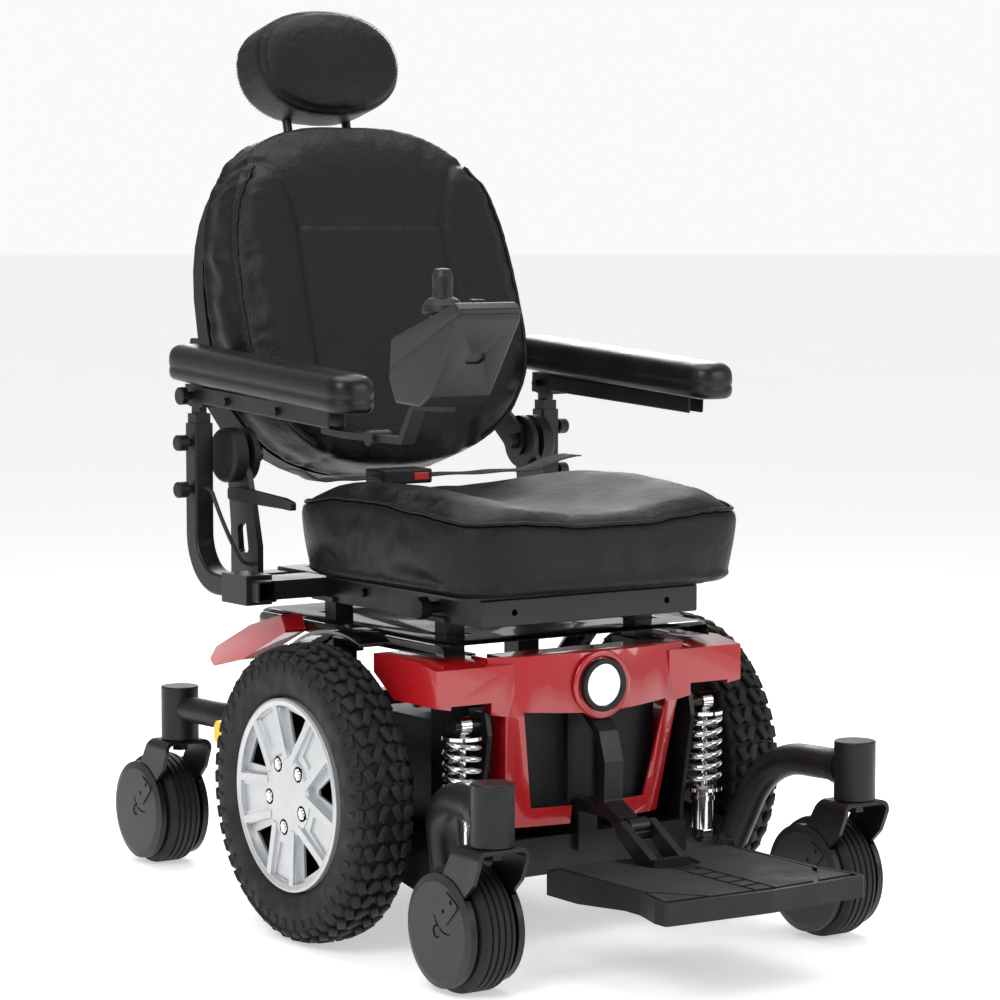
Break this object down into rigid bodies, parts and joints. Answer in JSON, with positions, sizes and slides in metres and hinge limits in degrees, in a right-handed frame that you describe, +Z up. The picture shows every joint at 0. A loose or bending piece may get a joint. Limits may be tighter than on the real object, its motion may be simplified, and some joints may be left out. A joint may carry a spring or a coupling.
{
  "type": "power wheelchair",
  "caption": "Mid-wheel-drive power wheelchair with a high-back captain's seat, swivelling casters, joystick controller and folding foot platform.",
  "frame": {"origin": "on the floor, under the middle of the chair's length and width", "axes": "+Z up; -Y is the front of the chair; -X is the user's right, where the joystick is"},
  "size_m": [0.612, 1.135, 1.1194],
  "materials": {
    "black_frame": "satin powder coat",
    "olive_frame": "satin dark grey powder coat",
    "battery_case": "matte",
    "motor_metal": "black painted casting",
    "red_gloss": "high gloss",
    "gloss_black": "high gloss",
    "black_plastic": "fine grain",
    "medallion": "polished",
    "chrome": "polished",
    "tyre_black": "moulded rubber",
    "caster_black": "moulded rubber",
    "silver_trim": "silver paint",
    "yellow_plastic": "satin",
    "vinyl": "fine grain black vinyl",
    "arm_foam": "satin moulded skin",
    "mat_rubber": "fine grain",
    "webbing": "woven",
    "red_button": "satin"
  },
  "bodies": {
    "base": {"chassis_frame": "black_frame", "batteries": "battery_case", "power_module": "battery_case", "drive_motors": "motor_metal", "body_panels": "red_gloss", "front_panel": "black_plastic", "top_cover": "gloss_black", "badge": "medallion", "shock_rods": "chrome", "seat_frame": "olive_frame", "seat_hardware": "black_plastic", "seat_cushion": "vinyl", "arm_sleeves": "black_frame", "recline_covers": "black_plastic", "platform_mount": "black_frame", "lap_belt": "webbing", "belt_buckle": "black_plastic", "control_cable": "mat_rubber", "coil_spring_right": "chrome", "coil_spring_left": "chrome"},
    "drive_wheel_right": {"drive_tyre_right": "tyre_black", "wheel_trim_right": "silver_trim"},
    "suspension_arm_right": {"front_arm_right": "black_frame"},
    "shock_right": {"shock_body_right": "chrome"},
    "freewheel_right": {"freewheel_lever_right": "yellow_plastic"},
    "front_fork_body_right": {"front_fork_right": "black_frame"},
    "front_caster_body_right": {"front_caster_right": "caster_black"},
    "rear_fork_body_right": {"rear_fork_right": "black_frame"},
    "rear_caster_body_right": {"rear_caster_right": "caster_black"},
    "arm_post_body_right": {"arm_post_right": "chrome"},
    "armrest_right": {"arm_bracket_right": "black_frame", "arm_pad_right": "arm_foam", "controller_base": "black_plastic", "controller_top": "black_plastic"},
    "drive_wheel_left": {"drive_tyre_left": "tyre_black", "wheel_trim_left": "silver_trim"},
    "suspension_arm_left": {"front_arm_left": "black_frame"},
    "shock_left": {"shock_body_left": "chrome"},
    "freewheel_left": {"freewheel_lever_left": "yellow_plastic"},
    "front_fork_body_left": {"front_fork_left": "black_frame"},
    "front_caster_body_left": {"front_caster_left": "caster_black"},
    "rear_fork_body_left": {"rear_fork_left": "black_frame"},
    "rear_caster_body_left": {"rear_caster_left": "caster_black"},
    "arm_post_body_left": {"arm_post_left": "chrome"},
    "armrest_left": {"arm_bracket_left": "black_frame", "arm_pad_left": "arm_foam"},
    "rear_beam": {"rear_caster_beam": "black_frame"},
    "platform": {"foot_platform": "black_plastic", "foot_mats": "mat_rubber"},
    "back": {"back_shell": "black_plastic", "back_cushion": "vinyl"},
    "head": {"headrest_bars": "black_frame", "headrest": "vinyl"},
    "recline_handle": {"recline_lever": "black_frame"},
    "gimbal": {"stick_gimbal": "black_plastic"},
    "stick": {"joystick": "black_plastic"},
    "power_button_body": {"power_button": "black_plastic"},
    "horn_button_body": {"horn_button": "black_plastic"},
    "speed_dial_body": {"speed_dial": "black_plastic"},
    "buckle_button": {"belt_button": "red_button"}
  },
  "joints": [
    {"name": "drive_wheel_right_spin", "type": "hinge", "parent": "base", "child": "drive_wheel_right", "pos_m": [-0.268, -0.0365, 0.178], "axis": [1, 0, 0], "continuous": true},
    {"name": "suspension_right", "type": "hinge", "parent": "base", "child": "suspension_arm_right", "pos_m": [-0.2, -0.0765, 0.118], "axis": [1, 0, 0], "range_deg": [-5, 5], "stiffness_Nm_per_rad": 900},
    {"name": "shock_right_travel", "type": "slide", "parent": "base", "child": "shock_right", "axis": [0, 0, 1], "range_m": [-0.0125, 0.0125], "deforming": ["coil_spring_right"]},
    {"name": "freewheel_right_lift", "type": "hinge", "parent": "base", "child": "freewheel_right", "pos_m": [-0.221, 0.1475, 0.184], "axis": [1, 0, 0], "range_deg": [0, 30]},
    {"name": "front_swivel_right", "type": "hinge", "parent": "suspension_arm_right", "child": "front_fork_body_right", "pos_m": [-0.258, -0.4015, 0.17], "axis": [0, 0, 1], "continuous": true},
    {"name": "front_caster_right_spin", "type": "hinge", "parent": "front_fork_body_right", "child": "front_caster_body_right", "pos_m": [-0.258, -0.3495, 0.072], "axis": [1, 0, 0], "continuous": true},
    {"name": "rear_swivel_right", "type": "hinge", "parent": "rear_beam", "child": "rear_fork_body_right", "pos_m": [-0.18, 0.4435, 0.17], "axis": [0, 0, 1], "continuous": true},
    {"name": "rear_caster_right_spin", "type": "hinge", "parent": "rear_fork_body_right", "child": "rear_caster_body_right", "pos_m": [-0.18, 0.4955, 0.072], "axis": [1, 0, 0], "continuous": true},
    {"name": "arm_height_right", "type": "slide", "parent": "base", "child": "arm_post_body_right", "axis": [0, 0, 1], "range_m": [0, 0.05]},
    {"name": "arm_flip_right", "type": "hinge", "parent": "arm_post_body_right", "child": "armrest_right", "pos_m": [-0.262, 0.2385, 0.634], "axis": [-1, 0, 0], "range_deg": [0, 90]},
    {"name": "drive_wheel_left_spin", "type": "hinge", "parent": "base", "child": "drive_wheel_left", "pos_m": [0.268, -0.0365, 0.178], "axis": [1, 0, 0], "continuous": true},
    {"name": "suspension_left", "type": "hinge", "parent": "base", "child": "suspension_arm_left", "pos_m": [0.2, -0.0765, 0.118], "axis": [1, 0, 0], "range_deg": [-5, 5], "stiffness_Nm_per_rad": 900},
    {"name": "shock_left_travel", "type": "slide", "parent": "base", "child": "shock_left", "axis": [0, 0, 1], "range_m": [-0.0125, 0.0125], "deforming": ["coil_spring_left"]},
    {"name": "freewheel_left_lift", "type": "hinge", "parent": "base", "child": "freewheel_left", "pos_m": [0.221, 0.1475, 0.184], "axis": [1, 0, 0], "range_deg": [0, 30]},
    {"name": "front_swivel_left", "type": "hinge", "parent": "suspension_arm_left", "child": "front_fork_body_left", "pos_m": [0.258, -0.4015, 0.17], "axis": [0, 0, 1], "continuous": true},
    {"name": "front_caster_left_spin", "type": "hinge", "parent": "front_fork_body_left", "child": "front_caster_body_left", "pos_m": [0.258, -0.3495, 0.072], "axis": [1, 0, 0], "continuous": true},
    {"name": "rear_swivel_left", "type": "hinge", "parent": "rear_beam", "child": "rear_fork_body_left", "pos_m": [0.18, 0.4435, 0.17], "axis": [0, 0, 1], "continuous": true},
    {"name": "rear_caster_left_spin", "type": "hinge", "parent": "rear_fork_body_left", "child": "rear_caster_body_left", "pos_m": [0.18, 0.4955, 0.072], "axis": [1, 0, 0], "continuous": true},
    {"name": "arm_height_left", "type": "slide", "parent": "base", "child": "arm_post_body_left", "axis": [0, 0, 1], "range_m": [0, 0.05]},
    {"name": "arm_flip_left", "type": "hinge", "parent": "arm_post_body_left", "child": "armrest_left", "pos_m": [0.262, 0.2385, 0.634], "axis": [-1, 0, 0], "range_deg": [0, 90]},
    {"name": "rear_rocker", "type": "hinge", "parent": "base", "child": "rear_beam", "pos_m": [0, 0.3085, 0.212], "axis": [0, 1, 0], "range_deg": [-6, 6]},
    {"name": "platform_fold", "type": "hinge", "parent": "base", "child": "platform", "pos_m": [0, -0.3165, 0.152], "axis": [-1, 0, 0], "range_deg": [0, 88]},
    {"name": "back_recline", "type": "hinge", "parent": "base", "child": "back", "pos_m": [0, 0.2185, 0.56], "axis": [-1, 0, 0], "range_deg": [-8, 45]},
    {"name": "headrest_height", "type": "slide", "parent": "back", "child": "head", "axis": [0, 0.2521, 0.9677], "range_m": [0, 0.07]},
    {"name": "recline_release", "type": "hinge", "parent": "base", "child": "recline_handle", "pos_m": [-0.226, 0.2135, 0.512], "axis": [-1, 0, 0], "range_deg": [0, 15], "stiffness_Nm_per_rad": 0.8, "springref_deg": -17.19},
    {"name": "joystick_sideways", "type": "hinge", "parent": "armrest_right", "child": "gimbal", "pos_m": [-0.262, -0.3105, 0.722], "axis": [0, 1, 0], "range_deg": [-10, 10], "stiffness_Nm_per_rad": 0.6},
    {"name": "joystick_fore_aft", "type": "hinge", "parent": "gimbal", "child": "stick", "pos_m": [-0.262, -0.3105, 0.722], "axis": [1, 0, 0], "range_deg": [-10, 10], "stiffness_Nm_per_rad": 0.6},
    {"name": "power_button_press", "type": "slide", "parent": "armrest_right", "child": "power_button_body", "axis": [0, 0, -1], "range_m": [0, 0.0015], "stiffness_N_per_m": 200, "springref_m": -0.0005},
    {"name": "horn_button_press", "type": "slide", "parent": "armrest_right", "child": "horn_button_body", "axis": [0, 0, -1], "range_m": [0, 0.0015], "stiffness_N_per_m": 200, "springref_m": -0.0005},
    {"name": "speed_dial_turn", "type": "hinge", "parent": "armrest_right", "child": "speed_dial_body", "pos_m": [-0.262, -0.3785, 0.75], "axis": [0, 0, 1], "range_deg": [-135, 135]},
    {"name": "buckle_press", "type": "slide", "parent": "base", "child": "buckle_button", "axis": [0, 1, 0], "range_m": [0, 0.0025], "stiffness_N_per_m": 150, "springref_m": -0.0005}
  ],
  "couplings": [
    {"joint": "shock_right_travel", "follows": "suspension_right", "m_per_rad": -0.141},
    {"joint": "shock_left_travel", "follows": "suspension_left", "m_per_rad": -0.141}
  ]
}
